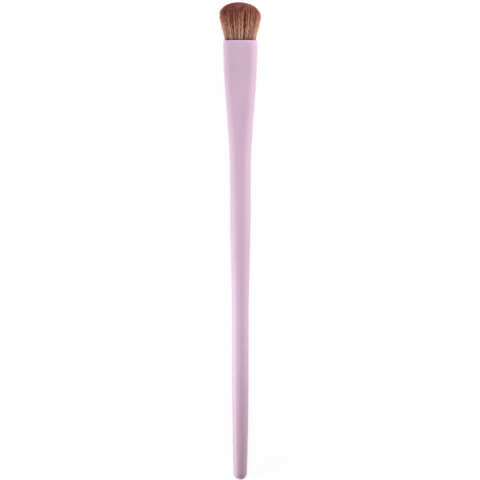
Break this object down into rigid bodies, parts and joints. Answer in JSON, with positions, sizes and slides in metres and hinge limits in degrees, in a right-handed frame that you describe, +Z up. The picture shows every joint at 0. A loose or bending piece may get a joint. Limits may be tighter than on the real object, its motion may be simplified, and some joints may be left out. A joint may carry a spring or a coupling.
{
  "type": "eyeshadow brush",
  "caption": "Slim moulded makeup brush: an oval flared handle that narrows to a round ball-ended tail, with a soft domed tuft of brown bristles that sways.",
  "frame": {"origin": "on the table, under the middle of the brush as it lies on its flat side", "axes": "+Y along the brush from the tail towards the bristle tips, +X across the flat face, +Z up"},
  "size_m": [0.0138, 0.16, 0.009],
  "materials": {
    "lilac_plastic": "satin soft-touch lilac pink",
    "brown_bristle": "fine synthetic fibre, tan at the base and red brown at the tips",
    "binding_thread": "off-white waxed thread",
    "clear_resin": "cast resin",
    "amber_adhesive": "set epoxy adhesive"
  },
  "bodies": {
    "handle_body": {"handle": "lilac_plastic", "bristle_roots": "brown_bristle", "root_binding_thread": "binding_thread", "root_resin_plug": "clear_resin", "socket_adhesive": "amber_adhesive"},
    "tuft": {"bristle_head": "brown_bristle"}
  },
  "joints": [
    {"name": "bristle_sway", "type": "hinge", "parent": "handle_body", "child": "tuft", "pos_m": [0, 0.06969, 0.00455], "axis": [0, -0.0145, 0.9999], "range_deg": [-25, 25], "stiffness_Nm_per_rad": 0.005}
  ]
}
